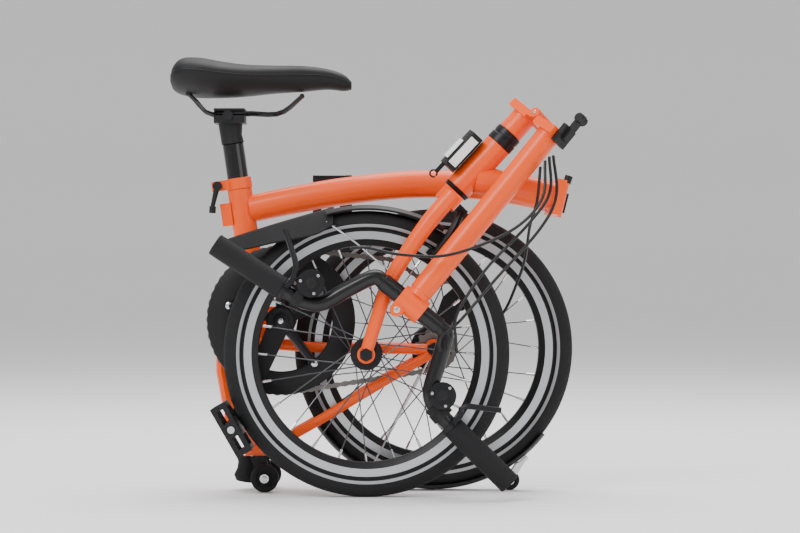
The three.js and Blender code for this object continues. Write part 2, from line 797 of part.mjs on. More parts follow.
// the saddle's outline: [X, top Z, bottom Z, half width]
const saddleRows = [
  [-293, 618, 606, 34], [-289, 634, 598, 58], [-276, 646, 592, 70], [-250, 647, 588, 76],
  [-215, 641, 588, 72], [-180, 637, 590, 56], [-140, 636, 594, 38], [-95, 635.5, 597, 27],
  [-60, 631, 600, 22], [-36, 623, 598, 19], [-24, 612, 600, 13],
];
const saddleRing = ([x, top, low, half]) =>
  Array.from({ length: 20 }, (_, i) => {
    const t = (2 * Math.PI * i) / 20;
    const c = Math.cos(t);
    const up = Math.sin(t);
    const side = Math.sign(c) * Math.abs(c) ** 0.75;
    const tall = top - low;
    const z =
      up > 0
        ? top - tall * 0.45 * (1 - up ** 0.8)
        : low + tall * 0.55 * (1 - Math.abs(up) ** 1.4);
    return [x, half * side, z];
  });
part(
  "saddle",
  loft(saddleRows.map(saddleRing))
    .subtract(box(170, 96, 30, [-205, 0, 585]))
    .subtract(rod([-98, -14, 590], [-98, 14, 590], 6, 6, 10)),
  RUBBER,
);

// ---------- mudguards ----------
// A curved strip around a wheel, from angle a0 to a1 in degrees.
function guard([cx, cy, cz], r, a0, a1, half, thick = 1.6, n = 22) {
  const rings = [];
  for (let i = 0; i <= n; i++) {
    const t = THREE.MathUtils.degToRad(a0 + ((a1 - a0) * i) / n);
    const at = (rr, y) => [cx + rr * Math.cos(t), cy + y, cz + rr * Math.sin(t)];
    rings.push([
      at(r - 5, -half), at(r, -half + 6), at(r, half - 6), at(r - 5, half),
      at(r - 5 + thick, half + thick * 0.6), at(r + thick, half - 5),
      at(r + thick, -half + 5), at(r - 5 + thick, -half - thick * 0.6),
    ]);
  }
  return loft(rings);
}
// The flap behind the front mudguard: [X, Z of the far edge, Z of the near edge], slanting outwards.
const flapRows = [
  [-48, 420, 395],
  [-75, 413, 380],
  [-130, 397, 369],
  [-175, 383, 359],
  [-205, 373, 356],
];
const mudFlap = loft(
  flapRows.map(([x, far, near]) => [
    [x, FRONT_Y + 22, far],
    [x, FRONT_Y - 15, far - 9],
    [x, FRONT_Y - 28, near],
    [x, FRONT_Y - 30, near],
    [x, FRONT_Y - 16, far - 6.6],
    [x, FRONT_Y + 22, far + 2.2],
  ]),
);
part(
  "front_mudguard",
  join([guard(FRONT_AXLE, TYRE_R + 7, 58, 106, 22), mudFlap]),
  BLACK,
);
part("rear_mudguard", guard(REAR_AXLE, TYRE_R + 2.2, 214, 322, 19.5, 1.5), BLACK);
const REAR_ROLLER = [213, 15];
part(
  "mudguard_roller_bracket",
  join([
    ...sides.map((s) => plate(circle(...REAR_ROLLER, 7, 14), ...across(9, 12, s))),
    ...sides.map((s) =>
      plate(
        [[REAR_ROLLER[0] - 6, 16], [REAR_ROLLER[0] + 6, 16], [238, 47], [222, 40]],
        ...across(9, 12, s),
      ),
    ),
    box(18, 24, 5, [233, 0, 43.8], -0.7),
    disc(REAR_ROLLER[0], REAR_ROLLER[1], 2.8, -11, 11, 12),
  ]),
  BLACK,
);
part(
  "mudguard_roller",
  disc(...REAR_ROLLER, 15, -8.5, 8.5, 28).subtract(disc(...REAR_ROLLER, 3.2, -20, 20, 16)),
  RUBBER,
);

// ---------- brakes, tensioner ----------
part(
  "front_brake",
  inFork(join([
    box(16, 60, 12, [26, 0, -122]),
    ...sides.map((s) => pipe([[26, 26 * s, -122], [36, 30 * s, -150], [41, 26 * s, -194]], 6, 6, 8)),
    ...sides.map((s) => box(26, 9, 10, [42, 16.5 * s, -196])),
    box(8, 14, 14, [21.6, 0, -122]),
  ])),
  SATIN,
);
part(
  "tensioner_arm",
  join([
    plate([[139, 300], [147, 284], [122, 246], [106, 240], [98, 252], [112, 290], [130, 306]], -53, -50),
    disc(139, 300, 7, -52, -43, 16),
    disc(139, 276, 7, -52, -43, 16),
    disc(108, 250, 6, -56, -50, 12),
  ]).subtract(disc(RX, RZ, 30, -60, -40)),
  BLACK,
);

// ---------- control cables ----------
const CABLE_R = 2.2;
const cables = {
  cable_front_brake: [
    [262, -190, 492], [262, -197, 440], [232, -204, 396], [170, -211, 330], [130, -217, 268],
    [128, -213, 230], [130, -204, 212],
  ],
  cable_rear_brake: [
    [268, -184, 494], [272, -190, 436], [248, -196, 388], [184, -207, 316], [134, -212, 258],
    [106, -207, 234], [107, -203, 214],
  ],
  cable_gear: [
    [256, -194, 486], [250, -212, 430], [205, -216, 385], [120, -215, 352], [50, -212, 352],
    [0, -213, 362], [-22, -206, 360],
  ],
  cable_rear: [
    [250, -178, 478], [246, -166, 430], [236, -152, 392], [231, -118, 348], [222, -84, 315],
    [202, -63, 268], [176, -59, 250], [154, -60, 246],
  ],
};
for (const [name, points] of Object.entries(cables)) {
  part(name, pipe(points, CABLE_R, 16, 5), BLACK);
}

export default group;
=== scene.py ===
# %% [markdown]
# # A folding bicycle, folded
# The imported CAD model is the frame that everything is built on. Every Blender piece stands
# where its CAD node stands, rides on the same body, and only adds looks: rounder tubes,
# rolled edges, tread, spokes with nipples, and materials worked out from nodes.

# %% Load the frame
import json
import math
import bmesh
import bpy
import numpy as np
from mathutils import Matrix, Vector


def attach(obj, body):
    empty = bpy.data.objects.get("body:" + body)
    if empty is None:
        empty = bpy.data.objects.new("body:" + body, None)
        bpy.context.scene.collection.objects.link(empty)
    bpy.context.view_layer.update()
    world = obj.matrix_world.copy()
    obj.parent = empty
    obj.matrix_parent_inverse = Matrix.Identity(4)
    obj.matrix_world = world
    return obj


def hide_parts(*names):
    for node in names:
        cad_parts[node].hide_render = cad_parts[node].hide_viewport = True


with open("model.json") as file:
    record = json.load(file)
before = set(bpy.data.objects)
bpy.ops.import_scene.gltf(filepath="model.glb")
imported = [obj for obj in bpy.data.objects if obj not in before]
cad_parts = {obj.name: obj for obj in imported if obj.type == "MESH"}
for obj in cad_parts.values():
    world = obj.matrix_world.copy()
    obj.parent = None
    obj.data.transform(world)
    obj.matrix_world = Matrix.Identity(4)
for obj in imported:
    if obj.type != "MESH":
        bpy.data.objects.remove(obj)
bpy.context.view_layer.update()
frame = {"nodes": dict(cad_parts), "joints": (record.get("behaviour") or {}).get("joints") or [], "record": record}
record = frame["record"]
joints = {j["name"]: j for j in frame["joints"]}
body_of = {n: b for b, ns in record["behaviour"]["bodies"].items() for n in ns}
MM = 0.001


# %% [markdown]
# ## Local frames
# The fork leans with the steering axis, and the stem hangs upside down beside it. Their
# shapes are easier to write upright, in the fork's own frame, so two matrices carry them to
# their folded places. Both are worked out from the record's joints.

# %% Fork, stem, hinge and seat frames
def along_z(direction, origin):
    """A frame whose Z runs along direction and whose Y stays sideways."""
    z = Vector(direction).normalized()
    y = Vector((0, 1, 0))
    x = y.cross(z).normalized()
    m = Matrix((x, y, z)).transposed().to_4x4()
    m.translation = origin
    return np.array(m)


steer = joints["steering"]
fork_frame = along_z([-a for a in steer["axis"]], steer["pos_m"])
fold = joints["stem_fold"]
turn = Matrix.Rotation(math.radians(-fold["range_deg"][1]), 4, Vector(fold["axis"]))
pin_at = Matrix.Translation(fold["pos_m"])
stem_frame = np.array(pin_at @ turn @ pin_at.inverted()) @ fork_frame
seat_frame = along_z(joints["seatpost_slide"]["axis"], (0, 0, 0))


def moved(points, m):
    """Points carried by a 4x4 matrix."""
    points = np.asarray(points, float)
    return points @ m[:3, :3].T + m[:3, 3]


def into(points, m):
    """Points seen from a frame."""
    return moved(points, np.linalg.inv(m))


# %% [markdown]
# ## Surfaces
# Nearly every part of a bicycle is a profile carried along a path: a tube, a tyre, a rim, a
# mudguard. One function makes the grid of points, another turns a grid into a mesh. A grid
# that closes on itself both ways needs no caps, and an open one gets a fan at each end.

# %% From a grid of points to a mesh
def grid_faces(rows, cols, wrap_rows, wrap_cols):
    """Quads that join each point to its neighbours, as index arrays."""
    i = np.arange(rows if wrap_rows else rows - 1)
    j = np.arange(cols if wrap_cols else cols - 1)
    a, b = np.meshgrid(i, j, indexing="ij")
    c, d = (a + 1) % rows, (b + 1) % cols
    return np.stack([a * cols + b, a * cols + d, c * cols + d, c * cols + b], -1).reshape(-1, 4)


def make(name, points, quads, node, material, stands_for=None, smooth_deg=40, caps=()):
    """One finished piece: a mesh with outward faces that rides on its node's body."""
    mesh = bpy.data.meshes.new(name)
    mesh.from_pydata(np.asarray(points).tolist(), [], quads.tolist() + [list(c) for c in caps])
    bm = bmesh.new()
    bm.from_mesh(mesh)
    bmesh.ops.remove_doubles(bm, verts=bm.verts, dist=1e-6)
    bmesh.ops.recalc_face_normals(bm, faces=bm.faces)
    bm.to_mesh(mesh)
    bm.free()
    mesh.validate()
    piece = bpy.data.objects.new(name, mesh)
    bpy.context.scene.collection.objects.link(piece)
    shade(mesh, smooth_deg)
    mesh.materials.append(material)
    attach(piece, body_of[node])
    if stands_for is None:
        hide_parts(node)
    elif stands_for:
        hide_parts(*stands_for)
    return piece


def shade(mesh, degrees):
    """Smooth shading, with an edge kept sharp where its two faces turn by more than this."""
    bm = bmesh.new()
    bm.from_mesh(mesh)
    for f in bm.faces:
        f.smooth = True
    for e in bm.edges:
        e.smooth = len(e.link_faces) == 2 and e.calc_face_angle(0) < math.radians(degrees)
    bm.to_mesh(mesh)
    bm.free()


def path_frames(path):
    """At each point of a path: two unit vectors across it, turned as little as possible."""
    path = np.asarray(path, float)
    tangent = np.gradient(path, axis=0)
    tangent /= np.linalg.norm(tangent, axis=1, keepdims=True)
    side = np.zeros_like(path)
    first = np.array([0.0, 1.0, 0.0])
    if abs(tangent[0] @ first) > 0.9:
        first = np.array([0.0, 0.0, 1.0])
    side[0] = first - (first @ tangent[0]) * tangent[0]
    for k in range(1, len(path)):
        side[k] = side[k - 1] - (side[k - 1] @ tangent[k]) * tangent[k]
    side /= np.linalg.norm(side, axis=1, keepdims=True)
    return side, np.cross(tangent, side)


def smooth_path(points, n):
    """n points along a Catmull-Rom curve through the given points, evenly spaced by length."""
    p = np.asarray(points, float)
    p = np.vstack([2 * p[0] - p[1], p, 2 * p[-1] - p[-2]])
    t = np.linspace(0, 1, 24, endpoint=False)[:, None]
    a, b, c, d = p[:-3, None], p[1:-2, None], p[2:-1, None], p[3:, None]
    curve = 0.5 * (2 * b + (c - a) * t + (2 * a - 5 * b + 4 * c - d) * t**2
                   + (3 * b - a - 3 * c + d) * t**3)
    curve = np.vstack([curve.reshape(-1, 3), p[-2:-1]])
    run = np.r_[0, np.cumsum(np.linalg.norm(np.diff(curve, axis=0), axis=1))]
    at = np.linspace(0, run[-1], n)
    return np.stack([np.interp(at, run, curve[:, k]) for k in range(3)], 1)


def tube_grid(path, radius, sides=32):
    """Points at path(u) + r(u)(cos v * across + sin v * up): a round tube."""
    a, b = path_frames(path)
    v = np.linspace(0, 2 * np.pi, sides, endpoint=False)
    r = np.broadcast_to(np.asarray(radius, float), len(path))[:, None, None]
    ring = np.cos(v)[None, :, None] * a[:, None] + np.sin(v)[None, :, None] * b[:, None]
    return (np.asarray(path)[:, None] + r * ring).reshape(-1, 3)


def tube(name, path, radius, node, material, sides=32, rim=0.0006, **more):
    """A tube with its ends rolled in by the rim radius, then closed flat."""
    path = np.asarray(path, float)
    radius = np.array(np.broadcast_to(np.asarray(radius, float), len(path)))
    ahead = path[1] - path[0]
    behind = path[-1] - path[-2]
    ahead /= np.linalg.norm(ahead)
    behind /= np.linalg.norm(behind)
    path = np.vstack([path[:1], path[:1] + ahead * rim, path[1:-1], path[-1:] - behind * rim, path[-1:]])
    radius = np.r_[radius[0] - rim, radius[0], radius[1:-1], radius[-1], radius[-1] - rim]
    points = tube_grid(path, radius, sides)
    rows = len(path)
    caps = [range(sides), range((rows - 1) * sides, rows * sides)]
    return make(name, points, grid_faces(rows, sides, False, True), node, material, caps=caps, **more)


def revolve_grid(profile, centre, turns=96, wave=None):
    """A closed profile of (radius, sideways) turned about a line along Y through centre.

    wave(angle, column) adds to the radius, for tread and ridges."""
    profile = np.asarray(profile, float)
    t = np.linspace(0, 2 * np.pi, turns, endpoint=False)[:, None]
    r = profile[:, 0] + np.zeros_like(t) + (0 if wave is None else wave(t, profile[None, :, 1]))
    y = np.broadcast_to(profile[:, 1], r.shape)
    x, z = centre[0] + r * np.cos(t), centre[2] + r * np.sin(t)
    return np.stack([x, centre[1] + y, z], -1).reshape(-1, 3)


def ring_piece(name, profile, centre, node, material, turns=96, wave=None, **more):
    """A wheel-like piece from a closed profile that doesn't touch its axis."""
    points = revolve_grid(profile, centre, turns, wave)
    return make(name, points, grid_faces(turns, len(profile), True, True), node, material, **more)


print("surface helpers ready")

# %% [markdown]
# ## Shared effects
# Paint, rubber and metal all vary a little: a mottled tone and a finer grain. One node group
# works these out from Object coordinates, so the pattern stays on the piece at every pose, and
# each material sets its own amounts.

# %% The surface group
def add_socket(group, name, kind, inside=True, default=None):
    s = group.interface.new_socket(name, in_out="INPUT" if inside else "OUTPUT", socket_type=kind)
    if default is not None:
        s.default_value = default
    return s


def surface_group():
    """Tone, roughness and grain height that change over a surface, from noise at two scales."""
    g = bpy.data.node_groups.new("surface_variation", "ShaderNodeTree")
    add_socket(g, "Color", "NodeSocketColor", default=(0.5, 0.5, 0.5, 1))
    for name, value in [("Mottle", 0.1), ("Mottle Scale", 30.0), ("Grain Scale", 900.0),
                        ("Roughness", 0.4), ("Roughness Swing", 0.1)]:
        add_socket(g, name, "NodeSocketFloat", default=value)
    add_socket(g, "Color", "NodeSocketColor", inside=False)
    add_socket(g, "Roughness", "NodeSocketFloat", inside=False)
    add_socket(g, "Height", "NodeSocketFloat", inside=False)
    n, link = g.nodes, g.links.new
    put, out = n.new("NodeGroupInput"), n.new("NodeGroupOutput")
    where = n.new("ShaderNodeTexCoord")
    broad, fine = n.new("ShaderNodeTexNoise"), n.new("ShaderNodeTexNoise")
    broad.inputs["Detail"].default_value = 4
    fine.inputs["Detail"].default_value = 2
    for noise, scale in ((broad, "Mottle Scale"), (fine, "Grain Scale")):
        link(where.outputs["Object"], noise.inputs["Vector"])
        link(put.outputs[scale], noise.inputs["Scale"])
    low, high = n.new("ShaderNodeMath"), n.new("ShaderNodeMath")
    low.operation, high.operation = "SUBTRACT", "MULTIPLY"
    link(broad.outputs["Fac"], low.inputs[0])
    low.inputs[1].default_value = 0.5
    link(low.outputs[0], high.inputs[0])
    link(put.outputs["Mottle"], high.inputs[1])
    shift = n.new("ShaderNodeMath")
    shift.operation = "ADD"
    link(high.outputs[0], shift.inputs[0])
    shift.inputs[1].default_value = 1.0
    tone = n.new("ShaderNodeVectorMath")
    tone.operation = "SCALE"
    link(put.outputs["Color"], tone.inputs[0])
    link(shift.outputs[0], tone.inputs["Scale"])
    link(tone.outputs[0], out.inputs["Color"])
    swing = n.new("ShaderNodeMath")
    swing.operation = "MULTIPLY_ADD"
    link(low.outputs[0], swing.inputs[0])
    link(put.outputs["Roughness Swing"], swing.inputs[1])
    link(put.outputs["Roughness"], swing.inputs[2])
    link(swing.outputs[0], out.inputs["Roughness"])
    link(fine.outputs["Fac"], out.inputs["Height"])
    return g


surface = surface_group()


def material(name, color, rough, metal=0.0, coat=0.0, mottle=0.12, grain=900.0, bump=0.05, swing=0.12,
             bump_depth=0.0002, spec=0.24):
    """A Principled material fed by the surface group. Returns the material."""
    m = bpy.data.materials.new(name)
    m.use_nodes = True
    n, link = m.node_tree.nodes, m.node_tree.links.new
    shader = n["Principled BSDF"]
    g = n.new("ShaderNodeGroup")
    g.node_tree = surface
    g.inputs["Color"].default_value = (*color, 1)
    for key, value in (("Mottle", mottle), ("Grain Scale", grain), ("Roughness", rough),
                       ("Roughness Swing", swing), ("Mottle Scale", 28.0)):
        g.inputs[key].default_value = value
    link(g.outputs["Color"], shader.inputs["Base Color"])
    link(g.outputs["Roughness"], shader.inputs["Roughness"])
    shader.inputs["Metallic"].default_value = metal
    shader.inputs["Coat Weight"].default_value = coat
    shader.inputs["Specular IOR Level"].default_value = spec
    shader.inputs["Coat Roughness"].default_value = 0.08
    b = n.new("ShaderNodeBump")
    b.inputs["Strength"].default_value = bump
    b.inputs["Distance"].default_value = bump_depth
    link(g.outputs["Height"], b.inputs["Height"])
    link(b.outputs["Normal"], shader.inputs["Normal"])
    return m


orange = material("orange_paint", (0.90, 0.088, 0.0), 0.40, coat=0.16, mottle=0.06, bump=0.03, spec=0.3)
black_paint = material("black_paint", (0.006, 0.006, 0.007), 0.30, coat=0.25, grain=700)
gloss_black = material("gloss_black", (0.004, 0.004, 0.005), 0.16, coat=0.5, bump=0.01)
plastic = material("black_plastic", (0.010, 0.010, 0.011), 0.46, bump=0.25, grain=1800)
rubber = material("grip_rubber", (0.010, 0.010, 0.011), 0.72, bump=0.5, grain=1400)
leather = material("saddle_cover", (0.009, 0.009, 0.010), 0.55, bump=0.55, grain=1500)
steel = material("plated_steel", (0.62, 0.63, 0.65), 0.24, metal=1.0, bump=0.04)
alloy = material("black_alloy", (0.016, 0.016, 0.018), 0.36, metal=0.4, bump=0.08)
chain_metal = material("oiled_steel", (0.16, 0.15, 0.14), 0.42, metal=0.9, mottle=0.4)
clear = material("clear_reflector", (0.82, 0.85, 0.87), 0.12, coat=1.0, grain=350, bump=0.6)
print("materials", len(bpy.data.materials))

# %% [markdown]
# ## Drawing coordinates
# The sizes below are in millimetres, in the drawing the CAD was made from, where the rear
# wheel's plane is Y = 0. One shift takes the drawing to the row frame.

# %% From the drawing to the row frame
SHIFT = np.array([-12.5, 55.0, 0.0])


def mm(points):
    """Drawing millimetres to row-frame metres."""
    return (np.asarray(points, float) + SHIFT) * MM


def in_fork(points):
    return moved(np.asarray(points, float) * MM, fork_frame)


def in_stem(points):
    return moved(np.asarray(points, float) * MM, stem_frame)


def in_seat(points):
    seat = seat_frame.copy()
    seat[:3, 3] = mm((-158.5, 0, 222))
    return moved(np.asarray(points, float) * MM, seat)


FRONT_AXLE, REAR_AXLE, BRACKET = (0, -120, 208), (99, 0, 213), (-127, 0, 255)
RIM_OUT, RIM_IN, TYRE_R = 181, 157, 208
print("front axle at", mm(FRONT_AXLE))


# %% [markdown]
# ## Small hardware
# Clamps, levers, pedals and brackets are cast or forged, so their edges are rolled. The
# simplest way is a copy of the CAD node with its doubles merged and a bevel on every
# edge that turns sharply. The bevel is what catches the light.

# %% A finished copy of a CAD node
def finished(node, finish, roll=0.7):
    """A merged copy of a CAD node whose sharp edges are rolled by roll millimetres."""
    source = frame["nodes"][node]
    bm = bmesh.new()
    bm.from_mesh(source.data)
    bmesh.ops.remove_doubles(bm, verts=bm.verts, dist=2e-6)
    bmesh.ops.dissolve_limit(bm, angle_limit=math.radians(1), verts=bm.verts, edges=bm.edges)
    mesh = bpy.data.meshes.new(node + "_finished")
    bm.to_mesh(mesh)
    bm.free()
    mesh.materials.clear()
    mesh.materials.append(finish)
    piece = bpy.data.objects.new(mesh.name, mesh)
    bpy.context.scene.collection.objects.link(piece)
    shade(mesh, 38)
    edge = piece.modifiers.new("rolled_edge", "BEVEL")
    edge.width = roll * MM
    edge.segments = 2
    edge.limit_method = "ANGLE"
    edge.angle_limit = math.radians(42)
    edge.use_clamp_overlap = True
    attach(piece, body_of[node])
    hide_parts(node)
    return piece


HARDWARE = {
    "main_frame": orange, "front_frame": orange, "fork": orange, "rear_triangle": orange,
    "stem_base": orange, "stem": orange, "seat_clamp": orange,
    "main_hinge_pin": steel, "rear_pivot_pin": steel, "stem_hinge_pin": steel,
    "bottom_bracket_axle": steel, "right_pedal_axle": steel, "left_pedal_pivot": steel,
    "roller_axle": steel, "front_axle": alloy, "rear_axle": alloy,
    "main_hinge_clamp": plastic, "main_clamp_lever": plastic, "seat_clamp_lever": plastic,
    "stem_clamp_lever": plastic, "carrier_block": plastic, "carrier_reflector": clear,
    "headset_upper": alloy, "headset_lower": alloy, "saddle_clamp": plastic,
    "saddle_rails": gloss_black, "right_crank": alloy, "left_crank": alloy,
    "right_pedal": plastic, "left_pedal": plastic, "roller_bracket": plastic,
    "mudguard_roller_bracket": steel, "tensioner_arm": plastic, "front_brake": alloy,
    "left_brake_lever": alloy, "right_brake_lever": alloy,
    "left_shifter": plastic, "right_shifter": plastic, "suspension_block": rubber,
}
for node, finish in HARDWARE.items():
    finished(node, finish)
print("hardware pieces", len(HARDWARE))

# %% [markdown]
# ## Frame tubes
# The tubes are drawn steel: round all the way along. Each is a circle carried along its
# centreline, laid just over the coarse CAD tube, so the lugs and plates of the finished copy
# grow out of it.

# %% Main tube, seat tube, head tube and front tube
OVER = 0.25  # how far a round tube stands outside the CAD's flat-sided one


def round_tube(name, points, radius, node, finish=orange, steps=60, sides=48):
    """A smooth tube through points in metres, with its radius in millimetres."""
    path = smooth_path(points, steps)
    return tube(name, path, (np.asarray(radius) + OVER) * MM, node, finish, sides, stands_for=[])


MAIN_LINE = [(-176, 0, 421), (-101, 0, 436.5), (-32, 0, 448), (64, 0, 458), (160, 0, 456.5),
             (225, 0, 447.5), (273, 0, 437)]
round_tube("main_tube", mm(MAIN_LINE), 20.5, "main_frame", steps=90)
round_tube("front_tube", mm([(273, -120, 437), (225, -120, 448), (160, -120, 462)]), 20.5, "front_frame")


def sleeve(name, inner, outer, start, end, place, node, finish, sides=64):
    """An open pipe: a closed profile of inner and outer radius turned about the local Z line."""
    roll = 0.8
    profile = np.array([(inner, start), (outer - roll, start), (outer, start + roll), (outer, end - roll),
                        (outer - roll, end), (inner, end)])
    t = np.linspace(0, 2 * np.pi, sides, endpoint=False)[:, None]
    points = np.stack([profile[:, 0] * np.cos(t), profile[:, 0] * np.sin(t),
                       np.broadcast_to(profile[:, 1], (sides, 6))], -1).reshape(-1, 3)
    return make(name, place(points), grid_faces(sides, 6, True, True), node, finish, stands_for=[])


sleeve("seat_tube", 16.6, 18.2 + OVER, 0, 231, in_seat, "main_frame", orange)
sleeve("head_tube", 13.2, 20 + OVER, -100, -14, in_fork, "front_frame", orange)
sleeve("headset_ring_upper", 13.4, 20.8, -13.8, -2, in_fork, "headset_upper", alloy)
sleeve("headset_ring_top", 13.4, 20.2, 0.5, 10, in_fork, "headset_upper", alloy)
sleeve("stem_tube", 4, 17.2, 62, 360, in_stem, "stem", orange)
sleeve("collar", 16.5, 19.5 + OVER, 231.3, 248, in_seat, "seat_clamp", orange)
print("tubes done")

# %% [markdown]
# ## Fork blades and rear stays
# Blades and stays come in pairs on either side of a wheel, so one line with a sideways sign
# makes both. The blades narrow towards the dropout, as drawn blades do.

# %% Blades and stays
axle_local = into(mm(FRONT_AXLE), fork_frame) / MM
for side, word in ((1, "left"), (-1, "right")):
    line = [(0, 40 * side, -112), (3, 42 * side, -170), (14, 42.5 * side, -243), (26, 42.5 * side, -282),
            (axle_local[0] - 4, 42.5 * side, axle_local[2] + 6)]
    taper = np.interp(np.linspace(0, 1, 50), [0, 0.12, 0.55, 1], [12, 12.4, 10.6, 9])
    round_tube("fork_blade_" + word, in_fork(line), taper, "fork", steps=50, sides=32)
    low = [(-213, 26 * side, 227), (-140, 26.5 * side, 219), (-60, 28.5 * side, 214), (20, 40 * side, 213),
           (91, 59 * side, 213)]
    high = [(-159, 22 * side, 62), (-100, 34 * side, 90), (-5, 53 * side, 147), (30, 59 * side, 168),
            (93, 59 * side, 205)]
    round_tube("low_stay_" + word, mm(low), 7.5, "rear_triangle", sides=28)
    round_tube("high_stay_" + word, mm(high), 7, "rear_triangle", sides=28)
print("blades and stays done")


# %% [markdown]
# ## Tyre, rim and their rings
# A tyre is a soft tube with cut tread and a thin reflective ring on its wall. The tread is
# real geometry: the crown's radius drops where a groove runs. The ring is a mask on the
# distance from the axle, so it stays perfectly round.

# %% A mask for rings round an axle
def ring_mask_group():
    """1 where the distance from the local Y axis is within half a width of a radius, and that distance."""
    g = bpy.data.node_groups.new("axle_ring", "ShaderNodeTree")
    add_socket(g, "Vector", "NodeSocketVector")
    add_socket(g, "Radius", "NodeSocketFloat", default=0.18)
    add_socket(g, "Half Width", "NodeSocketFloat", default=0.003)
    add_socket(g, "Mask", "NodeSocketFloat", inside=False)
    add_socket(g, "Distance", "NodeSocketFloat", inside=False)
    n, link = g.nodes, g.links.new
    put, out = n.new("NodeGroupInput"), n.new("NodeGroupOutput")
    flat, far = n.new("ShaderNodeVectorMath"), n.new("ShaderNodeVectorMath")
    flat.operation, far.operation = "MULTIPLY", "LENGTH"
    flat.inputs[1].default_value = (1, 0, 1)
    link(put.outputs["Vector"], flat.inputs[0])
    link(flat.outputs[0], far.inputs[0])
    compare = n.new("ShaderNodeMath")
    compare.operation = "COMPARE"
    link(far.outputs["Value"], compare.inputs[0])
    link(put.outputs["Radius"], compare.inputs[1])
    link(put.outputs["Half Width"], compare.inputs[2])
    link(compare.outputs[0], out.inputs["Mask"])
    link(far.outputs["Value"], out.inputs["Distance"])
    return g


axle_ring = ring_mask_group()


def ringed(name, centre, radius, half, base, band, rough, band_rough, band_metal=0.0):
    """A material of one colour with a round band of another, both varied by the surface group."""
    m = material(name, base, rough, grain=900, bump=0.35)
    n, link = m.node_tree.nodes, m.node_tree.links.new
    shader = n["Principled BSDF"]
    where, place, ring = n.new("ShaderNodeTexCoord"), n.new("ShaderNodeMapping"), n.new("ShaderNodeGroup")
    ring.node_tree = axle_ring
    place.inputs["Location"].default_value = tuple(-centre)
    ring.inputs["Radius"].default_value = radius * MM
    ring.inputs["Half Width"].default_value = half * MM
    link(where.outputs["Object"], place.inputs["Vector"])
    link(place.outputs[0], ring.inputs["Vector"])
    base_group = next(x for x in n if x.type == "GROUP" and x.node_tree == surface)
    tone, shine = n.new("ShaderNodeMix"), n.new("ShaderNodeMix")
    tone.data_type = "RGBA"
    link(ring.outputs["Mask"], tone.inputs["Factor"])
    link(base_group.outputs["Color"], tone.inputs["A"])
    tone.inputs["B"].default_value = (*band, 1)
    link(tone.outputs["Result"], shader.inputs["Base Color"])
    link(ring.outputs["Mask"], shine.inputs["Factor"])
    link(base_group.outputs["Roughness"], shine.inputs["A"])
    shine.inputs["B"].default_value = band_rough
    link(shine.outputs["Result"], shader.inputs["Roughness"])
    if band_metal:
        metal = n.new("ShaderNodeMath")
        metal.operation = "MULTIPLY"
        link(ring.outputs["Mask"], metal.inputs[0])
        metal.inputs[1].default_value = band_metal
        link(metal.outputs[0], shader.inputs["Metallic"])
    return m


# %% The tyre's section and tread
def tyre_profile():
    """Radius and half-width of the tyre: an oval walked in 44 steps, then the bead in the rim."""
    t = np.linspace(-0.72 * np.pi, 0.72 * np.pi, 44)
    y = 17.2 * np.sin(t)
    r = 190.3 + 17.7 * np.cos(t) * np.where(np.cos(t) > 0, 1, 0.62)
    bead = [(181.5, 10.6), (181.5, -10.6)]
    return np.vstack([np.stack([r, y], 1), bead]) * MM


def tread(t, y):
    """Grooves on the crown: two straight ones, and slanted cuts that repeat 96 times round."""
    y = y / MM
    cut = np.sin(96 * t + 0.55 * np.abs(y)) > 0.72
    shoulder = (np.abs(y) > 5.5) & (np.abs(y) < 14.2)
    line = np.abs(np.abs(y) - 4.2) < 0.9
    return -0.0008 * (cut & shoulder) - 0.0007 * np.broadcast_to(line, cut.shape)


# %% [markdown]
# ## Hub, spokes and nipples
# A spoke is a thin straight rod from a hub flange to the rim, and its nipple is a thicker end.
# Copies of one rod would need turning one by one. Here all 24 are worked out as one array, so
# each wheel's spokes are a single light mesh. 24 spokes match the CAD.

# %% Many rods at once
def rods(starts, ends, radius, sides=8):
    """Many straight rods at once: for each, a ring of points at both ends, and their quads and caps."""
    starts, ends = np.asarray(starts, float), np.asarray(ends, float)
    along = ends - starts
    along /= np.linalg.norm(along, axis=1, keepdims=True)
    a = np.cross(along, (0.3, 1.0, 0.2))
    a /= np.linalg.norm(a, axis=1, keepdims=True)
    b = np.cross(along, a)
    v = np.linspace(0, 2 * np.pi, sides, endpoint=False)[None, :, None]
    ring = radius * (np.cos(v) * a[:, None] + np.sin(v) * b[:, None])
    points = np.stack([starts[:, None] + ring, ends[:, None] + ring], 1).reshape(-1, 3)
    quads = (grid_faces(2, sides, False, True)[None] + np.arange(len(starts))[:, None, None] * 2 * sides)
    caps = [range(k * sides, (k + 1) * sides) for k in range(2 * len(starts))]
    return points, quads.reshape(-1, 4), caps


# %% A whole wheel
SPOKES = 24


